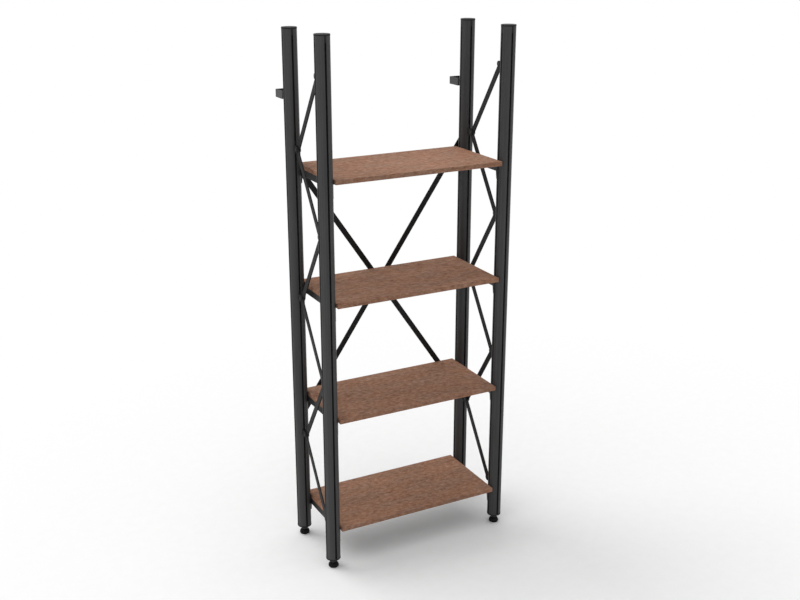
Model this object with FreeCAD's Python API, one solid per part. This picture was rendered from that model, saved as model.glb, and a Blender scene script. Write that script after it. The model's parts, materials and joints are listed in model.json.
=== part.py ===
import FreeCAD, Part
import math
import os

from FreeCAD import Rotation, Vector

# Posts: round aluminium tube with a T-slot along each of its four sides
POST_DIAMETER = 49.0
POST_LENGTH = 1745.5
POST_SPACING_X = 649.0      # between post axes, left to right
POST_SPACING_Y = 250.0      # between post axes, front to rear
POST_WEB = 3.15             # metal between a slot's floor and the bore
PORT_DIAMETER = 5.0         # hollow in the metal between two slots
SLOT_MOUTH = 6.2
SLOT_LIP = 3.0              # from the post's surface in to the channel
SLOT_CHANNEL = 13.0         # channel width behind the lips
SLOT_DEPTH = 6.0            # channel depth behind the lips
MOUTH_BEVEL = 0.5
CHANNEL_BEVEL = 1.5

# Clearances
SLOT_CLEARANCE = 0.2        # around whatever sits or runs in a slot
SPIGOT_CLEARANCE = 0.1      # around a plug's spigot in the post's bore
THREAD_CLEARANCE = 0.05     # around a screw in its threaded hole
BOLT_CLEARANCE = 0.2        # around a bolt in a plain hole
FORK_CLEARANCE = 0.1        # between a pair of braces and the fork that holds them
SEAT_GAP = 0.05             # between a round seat or a screw's tip and what it bears on

# Caps on the posts' tops, and plugs in their lower ends
CAP_DIAMETER = 49.8
CAP_FLANGE = 5.0
CAP_EDGE = 1.2              # rounding of the flange's outer edge
CAP_TONGUE = 20.0           # reach of the spigot and the cap's tongues into the post
CAP_WALL = 2.5              # wall of the hollow spigot

# Levelling feet
PAD_DIAMETER = 35.0
PAD_EDGE = 5.5              # rounding at the floor
PAD_TOP_DIAMETER = 17.0
PAD_HEIGHT = 18.0
PAD_BULGE = 1.7             # how far the shoulder swells outside a straight cone
STUD_DIAMETER = 12.0
STUD_THREAD = 55.0          # above the hexagon
STUD_HEX = 18.0
STUD_HEX_HEIGHT = 6.0
PIVOT_DIAMETER = 10.0       # the stud's pin in the pad
PIVOT_DEPTH = 8.0
FOOT_GAP = 2.45             # bare thread between the hexagon and the lock nut
LOCK_NUT_HEIGHT = 6.0

# Shelf boards, fitted between the posts
SHELF_COUNT = 4
LOWEST_SHELF_TOP = 153.0
SHELF_PITCH = 400.0
BOARD_THICKNESS = 15.0
BOARD_GAP = 0.1             # between a board's end and the posts
BOARD_PROUD = 0.5           # board's front and rear edges past the posts
BOARD_EDGE = 0.8            # rounding of the edges

# Carriers: an angle rail flush with each end of a board, welded to a fin at each post
FIN_HEIGHT = 48.0
LOCK_ZONE = 16.0            # tail below the fin, holding the lock screw
RAIL_HEIGHT = 22.0
RAIL_WIDTH = 22.0
RAIL_THICKNESS = 3.0
EAR_WIDTH = 8.5             # where the ear at a rail's end leaves the rail
EAR_TIP = 4.5               # width of the ear at its lower end
BOARD_SCREW_DIAMETER = 4.0
BOARD_SCREW_LENGTH = 14.0
BOARD_SCREW_POINT = 4.0     # length of the tapered point
BOARD_SCREW_TIP = 1.0       # diameter of the blunt tip
BOARD_SCREW_HEAD = 8.0
BOARD_SCREW_HEAD_HEIGHT = 2.6
BOARD_SCREW_INSET = 13.0    # from the rail's upright face
BOARD_SCREW_SPACING = 170.0
PILOT_EXTRA = 0.5           # pilot hole past the screw's tip

# Zigzag side braces, riveted in the forks of lugs that sit in the slots
LOWEST_JUNCTION = 160.0
TOP_JUNCTION_DROP = 123.0   # from the post's top end to the highest lug's hole
BRACES_PER_SIDE = 6
BAR_WIDTH = 19.0
BAR_THICKNESS = 4.0
BAR_EDGE = 0.5              # rounding of the bars' long edges
EYE_REACH = 18.15           # from the post's surface to the lug's hole
EYE_RADIUS = 10.0
LUG_CHEEK = 2.5             # thickness of each side of the fork
LUG_TAIL_END = 13.0         # tail above and below the fork, holding a lock screw

# Crossed rear braces
REAR_BRACE_LOW = 428.0
REAR_BRACE_DROP = 404.0     # from the post's top end to the braces' upper holes
REAR_CLEARANCE = 2.0        # between the boards' rear edges and the nearer brace

# Wall brackets: slices of rectangular tube on the rear posts
BRACKET_DROP = 208.5        # from the post's top end to the bracket's middle
BRACKET_HEIGHT = 25.0
BRACKET_WIDTH = 40.0
BRACKET_LENGTH = 60.0
BRACKET_WALL = 3.0
BRACKET_CORNER = 4.0
WALL_SCREW_HOLE = 8.0

# Fasteners
BOLT_DIAMETER = 6.0
BOLT_HEX = 10.0
NUT_HEIGHT = 5.0
BOLT_END = 1.5              # thread past the nut
RIVET_HEAD = 10.5
RIVET_HEAD_HEIGHT = 1.8
SPACER_DIAMETER = 16.0
TBOLT_HEAD = 12.0           # length of a T-bolt's head along the slot
COUNTERSINK_DIAMETER = 11.0
COUNTERSINK_DEPTH = 2.8
GRUB_DIAMETER = 6.0
GRUB_SOCKET = 3.0
GRUB_SOCKET_DEPTH = 3.0
HEX_BEVEL = 0.6             # share of a hexagon's corner that its bevel takes off

# Radii in a post's section
POST_R = POST_DIAMETER / 2
LIP_INNER = POST_R - SLOT_LIP
SLOT_FLOOR = LIP_INNER - SLOT_DEPTH
BORE_R = SLOT_FLOOR - POST_WEB
TAIL_INNER = SLOT_FLOOR + SLOT_CLEARANCE
TAIL_OUTER = LIP_INNER - SLOT_CLEARANCE
TAIL_MIDDLE = (TAIL_INNER + TAIL_OUTER) / 2
FIN_THICKNESS = SLOT_MOUTH - 2 * SLOT_CLEARANCE

# Heights from the floor
STUD_HEX_Z = PAD_HEIGHT + SEAT_GAP
LOCK_NUT_Z = STUD_HEX_Z + STUD_HEX_HEIGHT + FOOT_GAP
PLUG_Z = LOCK_NUT_Z + LOCK_NUT_HEIGHT
POST_Z = PLUG_Z + CAP_FLANGE
CAP_Z = POST_Z + POST_LENGTH
JUNCTION_PITCH = (CAP_Z - TOP_JUNCTION_DROP - LOWEST_JUNCTION) / BRACES_PER_SIDE
REAR_BRACE_HIGH = CAP_Z - REAR_BRACE_DROP
BRACKET_CENTRE = CAP_Z - BRACKET_DROP

# Places and sizes that follow from the posts
POST_X = POST_SPACING_X / 2
POST_Y = POST_SPACING_Y / 2
BOARD_LENGTH = POST_SPACING_X - POST_DIAMETER - 2 * BOARD_GAP
BOARD_DEPTH = POST_SPACING_Y + POST_DIAMETER + 2 * BOARD_PROUD
RAIL_FACE = POST_R + BOARD_GAP
SCREW_FROM_POST = RAIL_FACE + BOARD_SCREW_INSET
BRACE_HOLE = BOLT_DIAMETER + 2 * BOLT_CLEARANCE
FORK_GAP = 2 * (BAR_THICKNESS + FORK_CLEARANCE)
FORK_WIDTH = FORK_GAP + 2 * LUG_CHEEK
EYE_X = POST_R + EYE_REACH
FORK_FLOOR = EYE_X - BAR_WIDTH / 2 - SLOT_CLEARANCE
EYE_Y = POST_Y - EYE_X
REAR_BAR = BOARD_DEPTH / 2 + REAR_CLEARANCE - POST_Y
BRACKET_FACE = POST_R + SEAT_GAP

# The part's own origin is on the floor, midway between its front and rear extremes
FRONT_REACH = max(BOARD_DEPTH / 2, POST_Y + CAP_DIAMETER / 2)
REAR_REACH = POST_Y + BRACKET_FACE + BRACKET_LENGTH
MIDDLE_Y = (REAR_REACH - FRONT_REACH) / 2

POSTS = {
    "front_left": (-POST_X, -POST_Y),
    "front_right": (POST_X, -POST_Y),
    "rear_left": (-POST_X, POST_Y),
    "rear_right": (POST_X, POST_Y),
}
SIDES = {"left": -1, "right": 1}

UP = Vector(0, 0, 1)
ORIGIN = Vector(0, 0, 0)


# Helpers

def moved(shape, x=0.0, y=0.0, z=0.0):
    copy = shape.copy()
    copy.translate(Vector(x, y, z))
    return copy


def turned(shape, degrees, axis=UP):
    copy = shape.copy()
    copy.rotate(ORIGIN, axis, degrees)
    return copy


def aimed(shape, direction):
    """A copy turned so that its own +Z points along direction."""
    rotation = Rotation(UP, direction)
    return turned(shape, math.degrees(rotation.Angle), rotation.Axis)


def one_solid(shape):
    (solid,) = shape.removeSplitter().Solids
    return solid


def fused(shapes):
    return one_solid(shapes[0].multiFuse(shapes[1:]))


def polygon(corners):
    return Part.Face(Part.makePolygon(corners + corners[:1]))


def section(outline):
    """Face on z = 0 from the half outline with positive y, closed by its mirror image."""
    whole = outline + [(x, -y) for x, y in reversed(outline)]
    return polygon([Vector(x, y, 0) for x, y in whole])


def plate(outline, thickness):
    """Plate with the given outline in x and z, centred on y = 0."""
    corners = [Vector(x, -thickness / 2, z) for x, z in outline]
    return polygon(corners).extrude(Vector(0, thickness, 0))


def rod(diameter, length, start=ORIGIN, direction=UP):
    return Part.makeCylinder(diameter / 2, length, start, direction)


def circles_at(shape, z):
    """The round edges of a turned shape that lie at height z."""
    return [e for e in shape.Edges if isinstance(e.Curve, Part.Circle) and abs(e.CenterOfMass.z - z) < 1e-6]


def hexagon(across_flats, height):
    """Body of a nut or bolt head, standing on z = 0, its corners bevelled at both ends."""
    corner = across_flats / math.sqrt(3)
    bevel = HEX_BEVEL * (corner - across_flats / 2)
    corners = [Rotation(UP, 60 * i).multVec(Vector(corner, 0, 0)) for i in range(6)]
    barrel = rod(2 * (corner + bevel), height)
    barrel = barrel.makeChamfer(2 * bevel, circles_at(barrel, 0) + circles_at(barrel, height))
    return polygon(corners).extrude(Vector(0, 0, height)).common(barrel)


# Posts

def slot_section():
    surface = math.sqrt(POST_R ** 2 - (SLOT_MOUTH / 2) ** 2)
    outside = POST_R + SLOT_LIP
    return section([
        (SLOT_FLOOR, SLOT_CHANNEL / 2 - CHANNEL_BEVEL),
        (SLOT_FLOOR + CHANNEL_BEVEL, SLOT_CHANNEL / 2),
        (LIP_INNER, SLOT_CHANNEL / 2),
        (LIP_INNER, SLOT_MOUTH / 2),
        (surface - MOUTH_BEVEL, SLOT_MOUTH / 2),
        (outside, SLOT_MOUTH / 2 + MOUTH_BEVEL + outside - surface),
    ])


def disc(diameter, x=0.0):
    return Part.Face(Part.Wire(Part.makeCircle(diameter / 2, Vector(x, 0, 0))))


def post():
    profile = disc(POST_DIAMETER).cut(disc(2 * BORE_R))
    port = disc(PORT_DIAMETER, (BORE_R + POST_R) / 2)
    for quarter in range(4):
        profile = profile.cut(turned(slot_section(), 90 * quarter))
        profile = profile.cut(turned(port, 45 + 90 * quarter))
    return one_solid(profile.Faces[0].extrude(Vector(0, 0, POST_LENGTH)))


def tail(height):
    """Bar that fills a slot's channel, on the post's +X side, standing on z = 0."""
    width = SLOT_CHANNEL - 2 * SLOT_CLEARANCE
    return section([
        (TAIL_INNER, width / 2 - CHANNEL_BEVEL),
        (TAIL_INNER + CHANNEL_BEVEL, width / 2),
        (TAIL_OUTER, width / 2),
    ]).extrude(Vector(0, 0, height))


def grub_hole(z):
    size = GRUB_DIAMETER + 2 * THREAD_CLEARANCE
    return rod(size, POST_R, Vector(SLOT_FLOOR, 0, z), Vector(1, 0, 0))


def grub_screw(z):
    """Set screw along +X, bearing on a slot's floor and flush with the tail that it locks."""
    length = TAIL_OUTER - SLOT_FLOOR - SEAT_GAP
    screw = rod(GRUB_DIAMETER, length)
    socket = hexagon(GRUB_SOCKET, GRUB_SOCKET_DEPTH)
    screw = screw.cut(moved(socket, z=length - GRUB_SOCKET_DEPTH))
    return moved(aimed(screw, Vector(1, 0, 0)), SLOT_FLOOR + SEAT_GAP, 0, z)


# Caps, plugs and feet

def end_plug():
    """Flange above z = 0, with a spigot for the post's bore below."""
    flange = rod(CAP_DIAMETER, CAP_FLANGE)
    flange = flange.makeFillet(CAP_EDGE, circles_at(flange, CAP_FLANGE))
    spigot = rod(2 * (BORE_R - SPIGOT_CLEARANCE), CAP_TONGUE, Vector(0, 0, -CAP_TONGUE))
    return fused([flange, spigot])


def top_cap():
    """Plug with a hollow spigot and a tongue for each of the post's slots."""
    neck = Part.makeBox(SLOT_LIP + SLOT_CLEARANCE, FIN_THICKNESS, CAP_TONGUE)
    neck = moved(neck, TAIL_OUTER, -FIN_THICKNESS / 2)
    tongue = tail(CAP_TONGUE).fuse(neck).common(rod(POST_DIAMETER, CAP_TONGUE))
    tongue = moved(tongue, z=-CAP_TONGUE)
    cap = fused([end_plug()] + [turned(tongue, 90 * quarter) for quarter in range(4)])
    hollow = rod(2 * (BORE_R - SPIGOT_CLEARANCE - CAP_WALL), CAP_TONGUE, Vector(0, 0, -CAP_TONGUE))
    return cap.cut(hollow)


def base_plug():
    """Plug turned over, with its flange below z = 0, threaded for the foot."""
    plug = turned(end_plug(), 180, Vector(1, 0, 0))
    thread = rod(STUD_DIAMETER + 2 * THREAD_CLEARANCE, CAP_FLANGE + CAP_TONGUE, Vector(0, 0, -CAP_FLANGE))
    return plug.cut(thread)


def foot_pad():
    """Turned pad on the floor, with a socket for the stud's pin."""
    rim, top = PAD_DIAMETER / 2, PAD_TOP_DIAMETER / 2
    turn = PAD_EDGE * (1 - math.sqrt(0.5))
    shoulder = Vector((rim + top) / 2 + PAD_BULGE, 0, (PAD_EDGE + PAD_HEIGHT) / 2 + PAD_BULGE)
    low, side = Vector(rim - PAD_EDGE, 0, 0), Vector(rim, 0, PAD_EDGE)
    upper = Vector(top, 0, PAD_HEIGHT)
    axis_top = Vector(0, 0, PAD_HEIGHT)
    outline = Part.Wire([
        Part.makeLine(ORIGIN, low),
        Part.Arc(low, Vector(rim - turn, 0, turn), side).toShape(),
        Part.Arc(side, shoulder, upper).toShape(),
        Part.makeLine(upper, axis_top),
        Part.makeLine(axis_top, ORIGIN),
    ])
    pad = Part.Face(outline).revolve(ORIGIN, UP, 360)
    socket = rod(PIVOT_DIAMETER + 2 * SEAT_GAP, PIVOT_DEPTH + SEAT_GAP, axis_top, -UP)
    return one_solid(pad.cut(socket))


def foot_stud():
    pin = rod(PIVOT_DIAMETER, PIVOT_DEPTH + SEAT_GAP, Vector(0, 0, PAD_HEIGHT - PIVOT_DEPTH))
    body = moved(hexagon(STUD_HEX, STUD_HEX_HEIGHT), z=STUD_HEX_Z)
    thread = rod(STUD_DIAMETER, STUD_THREAD, Vector(0, 0, STUD_HEX_Z + STUD_HEX_HEIGHT))
    return fused([body, pin, thread])


def lock_nut():
    hole = rod(STUD_DIAMETER + 2 * THREAD_CLEARANCE, LOCK_NUT_HEIGHT)
    return moved(hexagon(STUD_HEX, LOCK_NUT_HEIGHT).cut(hole), z=LOCK_NUT_Z)


# Shelves

def screw_places():
    """Middles of a shelf's four board screws."""
    x = POST_X - SCREW_FROM_POST
    y = BOARD_SCREW_SPACING / 2
    return [(-x, -y), (-x, y), (x, -y), (x, y)]


def board():
    """Board with its underside on z = 0, drilled from below for its screws."""
    slab = Part.makeBox(BOARD_LENGTH, BOARD_DEPTH, BOARD_THICKNESS)
    slab = moved(slab.makeFillet(BOARD_EDGE, slab.Edges), -BOARD_LENGTH / 2, -BOARD_DEPTH / 2)
    depth = BOARD_SCREW_LENGTH - RAIL_THICKNESS + PILOT_EXTRA
    pilot = rod(BOARD_SCREW_DIAMETER + 2 * THREAD_CLEARANCE, depth)
    return slab.cut([moved(pilot, x, y) for x, y in screw_places()])


def board_screw():
    """Pan-head screw, its head under a rail whose top is at z = 0."""
    head = rod(BOARD_SCREW_HEAD, BOARD_SCREW_HEAD_HEIGHT)
    head = head.makeFillet(BOARD_SCREW_HEAD_HEIGHT / 2, circles_at(head, 0))
    straight = BOARD_SCREW_LENGTH - BOARD_SCREW_POINT
    shank = rod(BOARD_SCREW_DIAMETER, straight)
    point = Part.makeCone(BOARD_SCREW_DIAMETER / 2, BOARD_SCREW_TIP / 2, BOARD_SCREW_POINT)
    shank = shank.fuse(moved(point, z=straight))
    head = moved(head, z=-BOARD_SCREW_HEAD_HEIGHT)
    return moved(fused([head, shank]), z=-RAIL_THICKNESS)


def carrier_lock_z():
    return -FIN_HEIGHT - LOCK_ZONE / 2


def rail():
    """Angle that ends at the post axes, with an ear at each end of its upright leg."""
    half = [
        (POST_Y, 0),
        (POST_Y, -FIN_HEIGHT),
        (POST_Y - EAR_TIP, -FIN_HEIGHT),
        (POST_Y - EAR_WIDTH, -RAIL_HEIGHT),
    ]
    whole = half + [(-y, z) for y, z in reversed(half)]
    leg = polygon([Vector(RAIL_FACE, y, z) for y, z in whole]).extrude(Vector(RAIL_THICKNESS, 0, 0))
    flange = Part.makeBox(RAIL_WIDTH, POST_SPACING_Y, RAIL_THICKNESS)
    flange = moved(flange, RAIL_FACE, -POST_Y, -RAIL_THICKNESS)
    hole = rod(BOARD_SCREW_DIAMETER + 2 * BOLT_CLEARANCE, RAIL_THICKNESS, Vector(0, 0, -RAIL_THICKNESS))
    for y in (-BOARD_SCREW_SPACING / 2, BOARD_SCREW_SPACING / 2):
        flange = flange.cut(moved(hole, SCREW_FROM_POST, y))
    return leg.fuse(flange)


def carrier():
    """Left carrier, with the board's underside at z = 0 and the post axes on x = 0."""
    fin_end = RAIL_FACE + RAIL_THICKNESS / 2
    fin = plate([(TAIL_MIDDLE, 0), (fin_end, 0), (fin_end, -FIN_HEIGHT), (TAIL_MIDDLE, -FIN_HEIGHT)],
                FIN_THICKNESS)
    hook = fin.fuse(moved(tail(FIN_HEIGHT + LOCK_ZONE), z=-FIN_HEIGHT - LOCK_ZONE))
    hook = hook.cut(grub_hole(carrier_lock_z()))
    return fused([rail(), moved(hook, y=-POST_Y), moved(hook, y=POST_Y)])


# Side braces

def junction(index):
    """Middle of a lug's eye, in y and z; the zigzag starts at the front post's lowest lug."""
    front = index % 2 == 0
    return (-EYE_Y if front else EYE_Y), LOWEST_JUNCTION + index * JUNCTION_PITCH


def lug_lock_places():
    return [-EYE_RADIUS - LUG_TAIL_END / 2, EYE_RADIUS + LUG_TAIL_END / 2]


def in_lug_slot(shape, side, index):
    """Place a shape made for a post's +X slot in the slot that faces the opposite post."""
    front = index % 2 == 0
    _, z = junction(index)
    return moved(turned(shape, 90 if front else -90), side * POST_X, -POST_Y if front else POST_Y, z)


def fork():
    """Round-ended fork for two braces, seated on a post's +X side, with its hole at z = 0."""
    across = Vector(0, 1, 0)
    base = Vector(EYE_X, -FORK_WIDTH / 2, 0)
    corners = [(LIP_INNER, -EYE_RADIUS), (EYE_X, -EYE_RADIUS), (EYE_X, EYE_RADIUS), (LIP_INNER, EYE_RADIUS)]
    block = plate(corners, FORK_WIDTH).fuse(rod(2 * EYE_RADIUS, FORK_WIDTH, base, across))
    seat = rod(POST_DIAMETER + 2 * SEAT_GAP, 2 * EYE_RADIUS, Vector(0, 0, -EYE_RADIUS))
    gap = Part.makeBox(EYE_X, FORK_GAP, 2 * EYE_RADIUS)
    gap = moved(gap, FORK_FLOOR, -FORK_GAP / 2, -EYE_RADIUS)
    return block.cut([seat, gap, rod(BRACE_HOLE, FORK_WIDTH, base, across)])


def lug():
    """Fork on a tail, for a post's +X slot."""
    half = EYE_RADIUS + LUG_TAIL_END
    neck = plate([
        (TAIL_MIDDLE, -EYE_RADIUS),
        (FORK_FLOOR, -EYE_RADIUS),
        (FORK_FLOOR, EYE_RADIUS),
        (TAIL_MIDDLE, EYE_RADIUS),
    ], FIN_THICKNESS)
    whole = fused([fork(), neck, moved(tail(2 * half), z=-half)])
    return whole.cut([grub_hole(z) for z in lug_lock_places()])


def flat_bar(length):
    """Round-ended bar along +X from a hole at the origin to a hole at length, flat to Y."""
    across = Vector(0, 1, 0)
    base = Vector(0, -BAR_THICKNESS / 2, 0)
    half = BAR_WIDTH / 2
    middle = plate([(0, -half), (length, -half), (length, half), (0, half)], BAR_THICKNESS)
    end = rod(BAR_WIDTH, BAR_THICKNESS, base, across)
    hole = rod(BRACE_HOLE, BAR_THICKNESS, base, across)
    bar = fused([middle, end, moved(end, length)])
    bar = bar.makeFillet(BAR_EDGE, [e for e in bar.Edges if e.BoundBox.YLength < BAR_EDGE])
    return bar.cut([hole, moved(hole, length)])


def lie(index):
    """Successive braces lie side by side in the forks: even ones to the left, odd ones to the right."""
    return 1 if index % 2 else -1


def side_brace(side, index):
    (y0, z0), (y1, z1) = junction(index), junction(index + 1)
    bar = turned(flat_bar(math.hypot(y1 - y0, z1 - z0)), 90)
    bar = turned(bar, math.degrees(math.atan2(z1 - z0, y1 - y0)), Vector(1, 0, 0))
    return moved(bar, side * POST_X + lie(index) * BAR_THICKNESS / 2, y0, z0)


# Fasteners

def rivet():
    """Rivet along X through a fork and its braces, with a low round head at each end."""
    outside = FORK_WIDTH / 2
    head = rod(RIVET_HEAD, RIVET_HEAD_HEIGHT)
    head = head.makeFillet(RIVET_HEAD_HEIGHT / 2, circles_at(head, RIVET_HEAD_HEIGHT))
    head = moved(head, z=outside)
    shank = rod(BOLT_DIAMETER, FORK_WIDTH, Vector(0, 0, -outside))
    whole = fused([shank, head, turned(head, 180, Vector(1, 0, 0))])
    return aimed(whole, Vector(1, 0, 0))


def nut():
    return hexagon(BOLT_HEX, NUT_HEIGHT).cut(rod(BOLT_DIAMETER + 2 * THREAD_CLEARANCE, NUT_HEIGHT))


def spacer(length):
    return rod(SPACER_DIAMETER, length).cut(rod(BRACE_HOLE, length))


def junction_fasteners(side, index):
    """Rivet and lock screws of one lug, and a spacer where only one brace ends there."""
    y, z = junction(index)
    pieces = [moved(rivet(), side * POST_X, y, z)]
    braces = [brace for brace in (index - 1, index) if 0 <= brace < BRACES_PER_SIDE]
    if len(braces) == 1:
        filler = aimed(spacer(BAR_THICKNESS), Vector(-lie(braces[0]), 0, 0))
        pieces.append(moved(filler, side * POST_X, y, z))
    return pieces + [in_lug_slot(grub_screw(place), side, index) for place in lug_lock_places()]


def t_bolt(grip_end):
    """T-bolt in a post's +X slot, for parts that reach out to grip_end from the post's axis."""
    head = moved(tail(TBOLT_HEAD), z=-TBOLT_HEAD / 2)
    length = grip_end + NUT_HEIGHT + BOLT_END - TAIL_MIDDLE
    return fused([head, rod(BOLT_DIAMETER, length, Vector(TAIL_MIDDLE, 0, 0), Vector(1, 0, 0))])


def slot_nut(start):
    return moved(aimed(nut(), Vector(1, 0, 0)), start)


def saddle(reach):
    """Spacer on a post's +X slot, hollowed to the post and flat at the given reach."""
    blank = moved(aimed(spacer(reach - LIP_INNER), Vector(1, 0, 0)), LIP_INNER)
    return blank.cut(rod(POST_DIAMETER + 2 * SEAT_GAP, 2 * SPACER_DIAMETER, Vector(0, 0, -SPACER_DIAMETER)))


def on_rear_slot(shape, side, z):
    return moved(turned(shape, 90), side * POST_X, POST_Y, z)


# Rear braces and wall brackets

def countersink():
    """Cone of the centre bolt's head, wide end at z = 0, pointing up."""
    return Part.makeCone(COUNTERSINK_DIAMETER / 2, BOLT_DIAMETER / 2, COUNTERSINK_DEPTH)


def rear_brace(climb, bar_front):
    """Brace with its front face bar_front behind the post axes; climb is 1 or -1 to the right."""
    rise = REAR_BRACE_HIGH - REAR_BRACE_LOW
    length = math.hypot(POST_SPACING_X, rise)
    bar = flat_bar(length)
    base = Vector(length / 2, -BAR_THICKNESS / 2, 0)
    bar = bar.cut(rod(BRACE_HOLE, BAR_THICKNESS, base, Vector(0, 1, 0)))
    bar = turned(bar, climb * math.degrees(math.atan2(rise, POST_SPACING_X)), Vector(0, -1, 0))
    start = REAR_BRACE_LOW if climb > 0 else REAR_BRACE_HIGH
    return moved(bar, -POST_X, POST_Y + bar_front + BAR_THICKNESS / 2, start)


def front_rear_brace():
    """The brace nearer the boards, countersunk for the bolt at the crossing."""
    seat = Part.makeCone(COUNTERSINK_DIAMETER / 2 + BOLT_CLEARANCE, BRACE_HOLE / 2, COUNTERSINK_DEPTH)
    seat = aimed(seat, Vector(0, 1, 0))
    middle_z = (REAR_BRACE_LOW + REAR_BRACE_HIGH) / 2
    return rear_brace(1, REAR_BAR).cut(moved(seat, 0, POST_Y + REAR_BAR, middle_z))


def centre_bolt_set():
    grip = 2 * BAR_THICKNESS
    bolt_solid = fused([countersink(), rod(BOLT_DIAMETER, grip + NUT_HEIGHT + BOLT_END)])
    middle_z = (REAR_BRACE_LOW + REAR_BRACE_HIGH) / 2
    front = POST_Y + REAR_BAR
    rearward = Vector(0, 1, 0)
    return [
        moved(aimed(bolt_solid, rearward), 0, front, middle_z),
        moved(aimed(nut(), rearward), 0, front + grip, middle_z),
    ]


def rear_brace_fasteners():
    """Saddles, T-bolts and nuts at the braces' four ends, and the bolt at their crossing."""
    pieces = []
    for bar_front, low_side in ((REAR_BAR, -1), (REAR_BAR + BAR_THICKNESS, 1)):
        bar_back = bar_front + BAR_THICKNESS
        for side, z in ((low_side, REAR_BRACE_LOW), (-low_side, REAR_BRACE_HIGH)):
            for piece in (saddle(bar_front), t_bolt(bar_back), slot_nut(bar_back)):
                pieces.append(on_rear_slot(piece, side, z))
    return pieces + centre_bolt_set()


def wall_bracket():
    """Slice of rectangular tube for a post's +X slot, centred on z = 0."""
    def tube(length, width, corner, x):
        block = Part.makeBox(length, width, BRACKET_HEIGHT)
        upright = [e for e in block.Edges if abs(e.BoundBox.ZLength - BRACKET_HEIGHT) < 1e-6]
        return moved(block.makeFillet(corner, upright), x, -width / 2, -BRACKET_HEIGHT / 2)

    outer = tube(BRACKET_LENGTH, BRACKET_WIDTH, BRACKET_CORNER, BRACKET_FACE)
    inner = tube(BRACKET_LENGTH - 2 * BRACKET_WALL, BRACKET_WIDTH - 2 * BRACKET_WALL,
                 BRACKET_CORNER - BRACKET_WALL, BRACKET_FACE + BRACKET_WALL)
    outward = Vector(1, 0, 0)
    bolt_hole = rod(BRACE_HOLE, BRACKET_WALL, Vector(BRACKET_FACE, 0, 0), outward)
    rear_wall = BRACKET_FACE + BRACKET_LENGTH - BRACKET_WALL
    screw_hole = rod(WALL_SCREW_HOLE, BRACKET_WALL, Vector(rear_wall, 0, 0), outward)
    return outer.cut([inner, bolt_hole, screw_hole])


def bracket_fasteners():
    wall = BRACKET_FACE + BRACKET_WALL
    return [on_rear_slot(piece, side, BRACKET_CENTRE)
            for side in SIDES.values() for piece in (t_bolt(wall), slot_nut(wall))]


# Writing the pieces

def export(name, solids):
    placed = [moved(solid, y=-MIDDLE_Y) for solid in solids]
    shape = placed[0] if len(placed) == 1 else Part.makeCompound(placed)
    found = sum(len(piece.Solids) for piece in placed)
    print(f"{name}: solids {found}, valid {shape.isValid()}, volume {shape.Volume:.0f}")
    shape.exportStep(f"parts/{name}.step")


def export_posts():
    for corner, (x, y) in POSTS.items():
        export(f"post_{corner}", [moved(post(), x, y, POST_Z)])
        export(f"top_cap_{corner}", [moved(top_cap(), x, y, CAP_Z)])
        export(f"base_plug_{corner}", [moved(base_plug(), x, y, POST_Z)])
        export(f"foot_stud_{corner}", [moved(foot_stud(), x, y)])
        export(f"foot_pad_{corner}", [moved(foot_pad(), x, y)])
    export("foot_lock_nuts", [moved(lock_nut(), x, y) for x, y in POSTS.values()])


def export_shelf(number):
    under = LOWEST_SHELF_TOP + (number - 1) * SHELF_PITCH - BOARD_THICKNESS
    export(f"shelf_{number}_board", [moved(board(), z=under)])
    left = moved(carrier(), -POST_X, 0, under)
    export(f"shelf_{number}_carrier_left", [left])
    export(f"shelf_{number}_carrier_right", [turned(left, 180)])
    screws = [moved(board_screw(), x, y, under) for x, y in screw_places()]
    export(f"shelf_{number}_board_screws", screws)
    locks = [moved(grub_screw(carrier_lock_z()), -POST_X, y, under) for y in (-POST_Y, POST_Y)]
    export(f"shelf_{number}_lock_screws", locks + [turned(lock, 180) for lock in locks])


def export_side_braces():
    lugs, fasteners = [], []
    for name, side in SIDES.items():
        for index in range(BRACES_PER_SIDE):
            export(f"side_brace_{name}_{index + 1}", [side_brace(side, index)])
        for index in range(BRACES_PER_SIDE + 1):
            lugs.append(in_lug_slot(lug(), side, index))
            fasteners += junction_fasteners(side, index)
    export("brace_lugs", lugs)
    export("side_brace_fasteners", fasteners)


def export_rear():
    export("rear_brace_rising", [front_rear_brace()])
    export("rear_brace_falling", [rear_brace(-1, REAR_BAR + BAR_THICKNESS)])
    export("rear_fasteners", rear_brace_fasteners() + bracket_fasteners())
    for name, side in SIDES.items():
        export(f"wall_bracket_{name}", [on_rear_slot(wall_bracket(), side, BRACKET_CENTRE)])


os.makedirs("parts", exist_ok=True)
export_posts()
for shelf_number in range(1, SHELF_COUNT + 1):
    export_shelf(shelf_number)
export_side_braces()
export_rear()
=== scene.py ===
import json
import math

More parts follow.
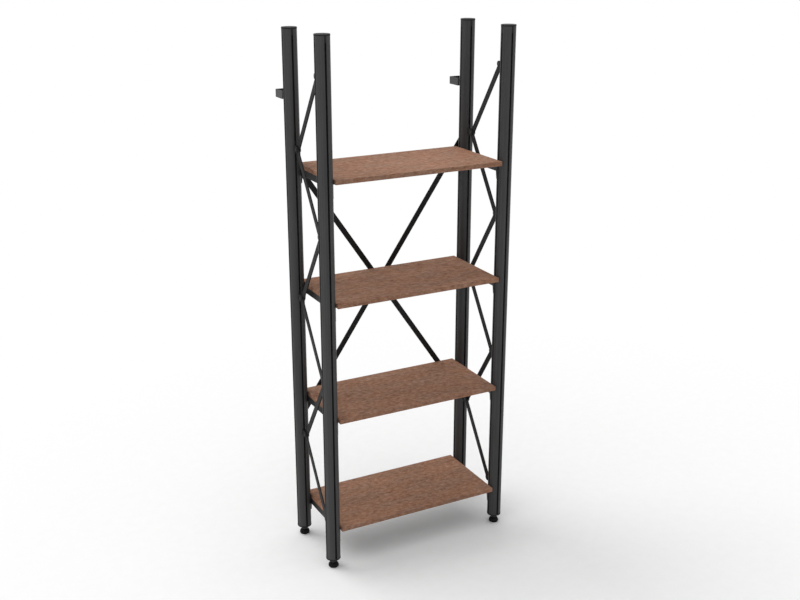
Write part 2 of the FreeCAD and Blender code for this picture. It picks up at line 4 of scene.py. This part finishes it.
import bmesh
import bpy
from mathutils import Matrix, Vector


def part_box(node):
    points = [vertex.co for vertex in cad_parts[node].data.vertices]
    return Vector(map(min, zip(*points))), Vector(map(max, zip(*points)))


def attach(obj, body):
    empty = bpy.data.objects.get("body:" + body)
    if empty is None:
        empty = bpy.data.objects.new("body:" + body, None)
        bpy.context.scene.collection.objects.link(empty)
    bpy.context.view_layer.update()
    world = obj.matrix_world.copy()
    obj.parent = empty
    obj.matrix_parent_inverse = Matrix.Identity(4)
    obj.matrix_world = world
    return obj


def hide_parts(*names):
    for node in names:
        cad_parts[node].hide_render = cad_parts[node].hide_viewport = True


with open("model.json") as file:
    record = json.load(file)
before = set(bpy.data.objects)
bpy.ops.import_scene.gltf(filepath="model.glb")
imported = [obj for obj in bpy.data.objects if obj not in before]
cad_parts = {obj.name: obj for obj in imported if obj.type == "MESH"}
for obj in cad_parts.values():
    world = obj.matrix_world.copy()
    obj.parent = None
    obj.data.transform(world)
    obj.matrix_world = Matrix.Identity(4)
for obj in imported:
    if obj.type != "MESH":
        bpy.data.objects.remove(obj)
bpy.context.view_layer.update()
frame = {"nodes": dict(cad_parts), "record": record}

NODES = frame["nodes"]
SLOT_OF_NODE = {part["node"]: part["material_slot"] for part in frame["record"]["subparts"]}
CORNERS = ("front_left", "front_right", "rear_left", "rear_right")
MM = 0.001

scene = bpy.context.scene
scene.view_settings.view_transform = "Standard"


class Finish:
    """A procedural material: its principled shader, and the nodes that feed it."""

    def __init__(self, name, **constants):
        self.material = bpy.data.materials.new(name)
        self.material.use_nodes = True
        self.tree = self.material.node_tree
        self.shader = self.tree.nodes["Principled BSDF"]
        coordinates = self.tree.nodes.new("ShaderNodeTexCoord")
        self.place = coordinates.outputs["Object"]
        self.normal = coordinates.outputs["Normal"]
        for socket, value in constants.items():
            self.shader.inputs[socket.replace("_", " ")].default_value = value

    def put(self, node, socket, value):
        """Set an input to a constant, or join it to another node's output."""
        if isinstance(value, bpy.types.NodeSocket):
            self.tree.links.new(value, node.inputs[socket])
        else:
            node.inputs[socket].default_value = value

    def feed(self, socket, value):
        """Set or join an input of the shader."""
        self.put(self.shader, socket, value)

    def noise(self, x, y, z, detail=2.0, roughness=0.5, shift=0.0):
        """Noise from 0 to 1 whose grains measure about x by y by z millimetres."""
        mapping = self.tree.nodes.new("ShaderNodeMapping")
        mapping.inputs["Scale"].default_value = [1 / (size * MM) for size in (x, y, z)]
        mapping.inputs["Location"].default_value = (shift, shift, shift)
        self.put(mapping, "Vector", self.place)
        noise = self.tree.nodes.new("ShaderNodeTexNoise")
        self.put(noise, "Vector", mapping.outputs["Vector"])
        self.put(noise, "Scale", 1.0)
        self.put(noise, "Detail", detail)
        self.put(noise, "Roughness", roughness)
        return noise.outputs["Fac"]

    def spread(self, value, low, high, to_low=0.0, to_high=1.0):
        """Map a value's range from low to high onto to_low to to_high, and clamp it there."""
        node = self.tree.nodes.new("ShaderNodeMapRange")
        self.put(node, "From Min", low)
        self.put(node, "From Max", high)
        self.put(node, "To Min", to_low)
        self.put(node, "To Max", to_high)
        self.put(node, "Value", value)
        return node.outputs["Result"]

    def sums(self, *weighted):
        """Sum of (value, weight) pairs."""
        total = 0.0
        for value, weight in weighted:
            node = self.tree.nodes.new("ShaderNodeMath")
            node.operation = "MULTIPLY_ADD"
            self.put(node, 0, value)
            self.put(node, 1, weight)
            self.put(node, 2, total)
            total = node.outputs["Value"]
        return total

    def maths(self, operation, value):
        """A mathematical operation on one value."""
        node = self.tree.nodes.new("ShaderNodeMath")
        node.operation = operation
        self.put(node, 0, value)
        return node.outputs["Value"]

    def blend(self, factor, first, second, mode="MIX"):
        """Mix of two colours, each a constant or another node's output."""
        node = self.tree.nodes.new("ShaderNodeMix")
        node.data_type = "RGBA"
        node.blend_type = mode
        self.put(node, "Factor", factor)
        for socket, value in (("A_Color", first), ("B_Color", second)):
            target = next(s for s in node.inputs if s.identifier == socket)
            if isinstance(value, bpy.types.NodeSocket):
                self.tree.links.new(value, target)
            else:
                target.default_value = (*value, 1.0)
        return next(s for s in node.outputs if s.identifier == "Result_Color")

    def ramp(self, value, *stops):
        """Colour of a value along (position, colour) stops."""
        node = self.tree.nodes.new("ShaderNodeValToRGB")
        elements = node.color_ramp.elements
        while len(elements) < len(stops):
            elements.new(0.5)
        for element, (position, colour) in zip(elements, stops):
            element.position = position
            element.color = (*colour, 1.0)
        self.put(node, "Fac", value)
        return node.outputs["Color"]

    def bump(self, height, depth):
        """Relief of the given depth in millimetres from a height of 0 to 1."""
        node = self.tree.nodes.new("ShaderNodeBump")
        self.put(node, "Distance", depth * MM)
        self.put(node, "Height", height)
        self.feed("Normal", node.outputs["Normal"])


def grey(value):
    return (value, value, value)


# Finishes

BOARD_TONES = (
    (0.36, (0.190, 0.098, 0.063)),
    (0.46, (0.290, 0.163, 0.110)),
    (0.54, (0.350, 0.203, 0.140)),
    (0.64, (0.455, 0.281, 0.205)),
)
BOARD_REDDER = (1.06, 0.97, 0.92)   # tint of the board's warmer patches
PORE_COLOUR = (0.075, 0.036, 0.022)
PORE_COVER = 0.45
BACKING_TONES = (
    (0.35, (0.36, 0.35, 0.34)),
    (0.65, (0.42, 0.41, 0.40)),
)
POST_TONES = (
    (0.38, grey(0.053)),
    (0.62, (0.077, 0.077, 0.079)),
)
# Painted shade in the posts' slots: their colour darkens with depth below the surface, standing in for
# the shade in these recesses.
SLOT_PAINTED_SHADE_START = 0.6 * MM           # depth below a post's surface where the painted shade in its slots starts
SLOT_PAINTED_SHADE_FULL = 2.0 * MM             # depth from which the slots carry the full painted shade
SLOT_PAINTED_SHADE_TONE = 0.030


def board_finish():
    """Brown board: fibres along it, dark pores, flecks and broad bands, and a pale backing below."""
    finish = Finish("board_brown", Specular_IOR_Level=0.01)
    grain = finish.noise(16, 1.8, 1.8, detail=4.0, roughness=0.6)
    mottle = finish.noise(18, 12, 12, detail=3.0, roughness=0.6, shift=3.1)
    bands = finish.noise(420, 60, 60, shift=7.7)
    warmth = finish.noise(90, 46, 46, shift=11.3)
    pores = finish.spread(finish.noise(9, 1.7, 1.7, shift=5.9), 0.60, 0.72)
    colour = finish.ramp(finish.sums((grain, 0.38), (mottle, 0.48), (bands, 0.14)), *BOARD_TONES)
    redder = finish.blend(1.0, colour, BOARD_REDDER, "MULTIPLY")
    colour = finish.blend(finish.spread(warmth, 0.4, 0.6), colour, redder)
    colour = finish.blend(finish.sums((pores, PORE_COVER)), colour, PORE_COLOUR)
    facing = finish.tree.nodes.new("ShaderNodeSeparateXYZ")
    finish.put(facing, "Vector", finish.normal)
    below = finish.spread(facing.outputs["Z"], -0.6, -0.9)
    finish.feed("Base Color", finish.blend(below, colour, finish.ramp(mottle, *BACKING_TONES)))
    finish.feed("Roughness", finish.spread(grain, 0.3, 0.7, 0.62, 0.46))
    finish.bump(finish.sums((grain, 0.8), (mottle, 0.2), (pores, -0.6)), 0.12)
    return finish.material


def post_axis(corner):
    """A point on a post's axis."""
    low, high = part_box(f"post_{corner}")
    return (low + high) / 2


def post_axis_distance(finish):
    """Distance of a point from the nearest of the four post axes, in metres."""
    first = post_axis("front_left")
    last = post_axis("rear_right")
    split = finish.tree.nodes.new("ShaderNodeSeparateXYZ")
    finish.put(split, "Vector", finish.place)
    total = 0.0
    for axis in (0, 1):
        middle = (first[axis] + last[axis]) / 2
        reach = (last[axis] - first[axis]) / 2
        offset = finish.maths("ABSOLUTE", finish.sums((split.outputs[axis], 1.0), (-1.0, middle)))
        side = finish.sums((offset, 1.0), (-1.0, reach))
        total = finish.sums((side, side), (total, 1.0))
    return finish.maths("SQRT", total)


def post_finish():
    """Black anodised extrusion: satin, with fine die lines along its length, and painted shade
    darkening its slots.
    """
    finish = Finish("post_aluminium", Metallic=0.15, Specular_IOR_Level=0.15)
    lines = finish.noise(0.9, 0.9, 900, detail=3.0, roughness=0.6)
    streaks = finish.noise(5, 5, 1500, shift=1.3)
    cloud = finish.noise(30, 30, 160, shift=5.0)
    skin = finish.ramp(finish.sums((lines, 0.3), (streaks, 0.4), (cloud, 0.3)), *POST_TONES)
    low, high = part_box("post_front_left")
    outside = (high.x - low.x) / 2
    # painted shade: the colour turns darker inside the slots, below the post's outer surface
    depth = finish.spread(post_axis_distance(finish), outside - SLOT_PAINTED_SHADE_START, outside - SLOT_PAINTED_SHADE_FULL)
    finish.feed("Base Color", finish.blend(depth, skin, grey(SLOT_PAINTED_SHADE_TONE)))
    finish.feed("Roughness", finish.spread(lines, 0.3, 0.7, 0.40, 0.52))
    finish.bump(lines, 0.012)
    return finish.material


def powder_coat(name, shade, gloss):
    """Black powder coat with a fine orange-peel skin."""
    finish = Finish(name, Specular_IOR_Level=gloss)
    peel = finish.noise(1.5, 1.5, 1.5)
    cloud = finish.noise(26, 26, 26, shift=2.0)
    tone = finish.sums((peel, 0.5), (cloud, 0.5))
    finish.feed("Base Color", finish.ramp(tone, (0.36, grey(0.8 * shade)), (0.64, grey(1.25 * shade))))
    finish.feed("Roughness", finish.spread(cloud, 0.3, 0.7, 0.46, 0.60))
    finish.bump(peel, 0.05)
    return finish.material


def dark_steel(name, shade, roughness):
    """Blackened steel of bolts, nuts and screws."""
    finish = Finish(name, Metallic=0.7)
    stain = finish.noise(5, 5, 5, detail=3.0)
    scratch = finish.noise(0.35, 0.35, 3.0, shift=9.0)
    finish.feed("Base Color", finish.ramp(stain, (0.35, grey(0.7 * shade)), (0.65, grey(1.3 * shade))))
    finish.feed("Roughness", finish.spread(stain, 0.3, 0.7, roughness - 0.06, roughness + 0.1))
    finish.bump(scratch, 0.01)
    return finish.material


def moulded(name, shade, gloss, roughness, skin):
    """Moulded plastic or rubber with a sparked skin, whose grains measure skin in millimetres."""
    finish = Finish(name, Specular_IOR_Level=gloss)
    spark = finish.noise(skin, skin, skin)
    cloud = finish.noise(14, 14, 14, shift=4.0)
    tone = finish.sums((spark, 0.4), (cloud, 0.6))
    finish.feed("Base Color", finish.ramp(tone, (0.36, grey(0.8 * shade)), (0.64, grey(1.2 * shade))))
    finish.feed("Roughness", finish.spread(cloud, 0.3, 0.7, roughness - 0.05, roughness + 0.07))
    finish.bump(spark, 0.04)
    return finish.material


FINISHES = {
    "post_aluminium": post_finish(),
    "board_brown": board_finish(),
    "brace_steel": powder_coat("brace_steel", shade=0.023, gloss=0.10),
    "bracket_steel": powder_coat("bracket_steel", shade=0.050, gloss=0.35),
    "carrier_steel": powder_coat("carrier_steel", shade=0.030, gloss=0.25),
    "black_fasteners": dark_steel("black_fasteners", shade=0.030, roughness=0.45),
    "stud_steel": dark_steel("stud_steel", shade=0.035, roughness=0.34),
    "cap_plastic": moulded("cap_plastic", shade=0.026, gloss=0.10, roughness=0.55, skin=0.6),
    "pad_rubber": moulded("pad_rubber", shade=0.006, gloss=0.15, roughness=0.70, skin=0.8),
}


def dress(piece, slot):
    """Give a piece the finish of its material slot."""
    piece.data.materials.clear()
    piece.data.materials.append(FINISHES[slot])


for name, node in NODES.items():
    dress(node, SLOT_OF_NODE[name])


# Foot studs with a cut thread

THREAD_PITCH = 1.75 * MM
THREAD_CREST = 5.98 * MM
THREAD_ROOT = 5.05 * MM
THREAD_FLAT = 0.1           # share of the pitch that is flat at the crest, and at the root
THREAD_TURNS = 17           # as much as shows when the foot is screwed right out
THREAD_SINK = 0.2 * MM      # how far below the hexagon's top the new rod starts
ROWS_PER_TURN = 8
SEGMENTS = 36
ANGLES = [2 * math.pi * step / SEGMENTS for step in range(SEGMENTS)]
STUD_NECK = 8 * MM          # radius between the rod's and the hexagon's
ROD_ABOVE = 0.5 * MM        # faces whose middle is this far above the hexagon are the plain rod's
RIM_WITHIN = 0.1 * MM       # edges this near the hexagon's top are the rim that the rod leaves


def thread_radius(angle, height):
    """Radius of a V thread at an angle and at a height above its start."""
    phase = (height / THREAD_PITCH - angle / (2 * math.pi)) % 1.0
    flank = (abs(2 * phase - 1) - THREAD_FLAT) / (1 - 2 * THREAD_FLAT)
    run_out = min(1.0, height / THREAD_PITCH, (THREAD_TURNS * THREAD_PITCH - height) / THREAD_PITCH)
    return THREAD_ROOT + (THREAD_CREST - THREAD_ROOT) * min(1.0, max(0.0, flank)) * max(0.0, run_out)


def add_ring(mesh, centre, radii, z):
    """Ring of vertices round the axis, with a radius for each angle."""
    ring = []
    for radius, angle in zip(radii, ANGLES):
        place = (centre.x + radius * math.cos(angle), centre.y + radius * math.sin(angle), z)
        ring.append(mesh.verts.new(place))
    return ring


def add_thread(mesh, centre, start, end):
    """Threaded rod from start up to end, closed at both ends; its upper part is plain."""
    rings = []
    for row in range(THREAD_TURNS * ROWS_PER_TURN + 1):
        height = row * THREAD_PITCH / ROWS_PER_TURN
        radii = [thread_radius(angle, height) for angle in ANGLES]
        rings.append(add_ring(mesh, centre, radii, start + height))
    rings.append(add_ring(mesh, centre, [THREAD_ROOT] * SEGMENTS, end))
    for low, high in zip(rings, rings[1:]):
        for step in range(SEGMENTS):
            after = (step + 1) % SEGMENTS
            mesh.faces.new((low[step], low[after], high[after], high[step])).smooth = True
    mesh.faces.new(list(reversed(rings[0])))
    mesh.faces.new(rings[-1])


def threaded_stud(corner):
    """The stud's hexagon and pin as they are, with its plain rod recut as a thread."""
    node = NODES[f"foot_stud_{corner}"]
    low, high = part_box(node.name)
    centre = (low + high) / 2
    mesh = bmesh.new()
    mesh.from_mesh(node.data)
    hexagon = {v for v in mesh.verts if (v.co.xy - centre.xy).length > STUD_NECK}
    hexagon_top = max(v.co.z for v in hexagon)
    rod = [f for f in mesh.faces if f.calc_center_median().z > hexagon_top + ROD_ABOVE]
    bmesh.ops.delete(mesh, geom=rod, context="FACES")
    rim = [e for e in mesh.edges if e.is_boundary and not hexagon.intersection(e.verts)
           and min(v.co.z for v in e.verts) > hexagon_top - RIM_WITHIN]
    bmesh.ops.holes_fill(mesh, edges=rim, sides=0)
    add_thread(mesh, centre, hexagon_top - THREAD_SINK, high.z)
    data = bpy.data.meshes.new(f"threaded_stud_{corner}")
    mesh.to_mesh(data)
    mesh.free()
    stud = bpy.data.objects.new(data.name, data)
    scene.collection.objects.link(stud)
    dress(stud, "stud_steel")
    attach(stud, f"stud_{corner}")
    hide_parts(node.name)


for corner in CORNERS:
    threaded_stud(corner)


# Floor, light and camera

FLOOR_RADIUS = 14.0
FLOOR_SIDES = 96
FLOOR_TONES = (
    (0.3, grey(0.945)),
    (0.7, grey(0.965)),
)
FLOOR_SPECK = 40            # size of the floor's faint specks in millimetres
FLOOR_MIDDLE = (0.3, -0.2, 0.0)
FLOOR_CLEAR = (1.0, 2.2)    # where the floor fades into the white ground, in metres from that middle
FLOOR_BOUNCE = 0.80         # how much of its light the floor hands on to the object

SKY_STRENGTH = 0.48
SKY_LEAN = (0.0, 0.45)      # share by which the sky's light gains towards +x and +y
LAMPS = {
    "overhead": {"source": (-0.20, -0.06, 1.0), "spread": 75.0, "level": 0.37},
    "rear_left": {"source": (-0.58, 0.79, 0.93), "spread": 42.0, "level": 0.27},
}

CAMERA_PLACE = (-1.6738, -3.1965, 2.1041)
CAMERA_AIM = (0.4420, 0.8363, -0.3243)
LENS = 50.0
SENSOR_WIDTH = 36.0


def floor():
    """Pale floor that takes the object's shade and fades into white farther out."""
    mesh = bmesh.new()
    bmesh.ops.create_circle(mesh, cap_ends=True, segments=FLOOR_SIDES, radius=FLOOR_RADIUS)
    data = bpy.data.meshes.new("floor")
    mesh.to_mesh(data)
    mesh.free()
    ground = bpy.data.objects.new("floor", data)
    scene.collection.objects.link(ground)
    finish = Finish("floor", Roughness=0.8, Specular_IOR_Level=0.1)
    tree = finish.tree
    path = tree.nodes.new("ShaderNodeLightPath")
    pale = finish.ramp(finish.noise(FLOOR_SPECK, FLOOR_SPECK, FLOOR_SPECK), *FLOOR_TONES)
    finish.feed("Base Color", finish.blend(path.outputs["Is Diffuse Ray"], pale, grey(FLOOR_BOUNCE)))
    seen = finish.sums((path.outputs["Is Camera Ray"], 1.0), (path.outputs["Is Glossy Ray"], 1.0),
                       (path.outputs["Is Transmission Ray"], 1.0))
    distance = tree.nodes.new("ShaderNodeVectorMath")
    distance.operation = "DISTANCE"
    finish.put(distance, 0, finish.place)
    finish.put(distance, 1, FLOOR_MIDDLE)
    far = finish.spread(distance.outputs["Value"], *FLOOR_CLEAR)
    white = tree.nodes.new("ShaderNodeEmission")
    mix = tree.nodes.new("ShaderNodeMixShader")
    finish.put(mix, "Fac", finish.sums((far, seen)))
    tree.links.new(finish.shader.outputs["BSDF"], mix.inputs[1])
    tree.links.new(white.outputs["Emission"], mix.inputs[2])
    tree.links.new(mix.outputs["Shader"], tree.nodes["Material Output"].inputs["Surface"])
    data.materials.append(finish.material)


def sky():
    """White where it is seen or mirrored; as light, a soft fill that leans to one side."""
    world = bpy.data.worlds.new("studio")
    world.use_nodes = True
    scene.world = world
    tree = world.node_tree
    background = tree.nodes["Background"]
    background.inputs["Color"].default_value = (1.0, 1.0, 1.0, 1.0)
    path = tree.nodes.new("ShaderNodeLightPath")
    seen = path.outputs["Is Camera Ray"]
    for kind in ("Is Glossy Ray", "Is Transmission Ray"):
        node = tree.nodes.new("ShaderNodeMath")
        node.operation = "MAXIMUM"
        tree.links.new(seen, node.inputs[0])
        tree.links.new(path.outputs[kind], node.inputs[1])
        seen = node.outputs["Value"]
    direction = tree.nodes.new("ShaderNodeTexCoord").outputs["Generated"]
    towards = tree.nodes.new("ShaderNodeVectorMath")
    towards.operation = "DOT_PRODUCT"
    towards.inputs[1].default_value = Vector((*SKY_LEAN, 0.0)) * SKY_STRENGTH
    tree.links.new(direction, towards.inputs[0])
    fill = tree.nodes.new("ShaderNodeMath")
    fill.operation = "ADD"
    fill.inputs[1].default_value = SKY_STRENGTH
    tree.links.new(towards.outputs["Value"], fill.inputs[0])
    level = tree.nodes.new("ShaderNodeMapRange")
    level.inputs["To Max"].default_value = 1.0
    tree.links.new(seen, level.inputs["Value"])
    tree.links.new(fill.outputs["Value"], level.inputs["To Min"])
    tree.links.new(level.outputs["Result"], background.inputs["Strength"])


def lamp(name, source, spread, level):
    """Even light from a direction; spread is its width in degrees, level what it gives a white face."""
    data = bpy.data.lights.new(name, "SUN")
    data.angle = math.radians(spread)
    data.energy = level * math.pi
    light = bpy.data.objects.new(name, data)
    light.rotation_euler = (-Vector(source)).to_track_quat("-Z", "Y").to_euler()
    scene.collection.objects.link(light)


def camera():
    """The photo's camera."""
    data = bpy.data.cameras.new("camera")
    data.lens = LENS
    data.sensor_width = SENSOR_WIDTH
    view = bpy.data.objects.new("camera", data)
    view.location = CAMERA_PLACE
    view.rotation_euler = Vector(CAMERA_AIM).to_track_quat("-Z", "Y").to_euler()
    scene.collection.objects.link(view)
    scene.camera = view


floor()
sky()
for name, settings in LAMPS.items():
    lamp(name, **settings)
camera()
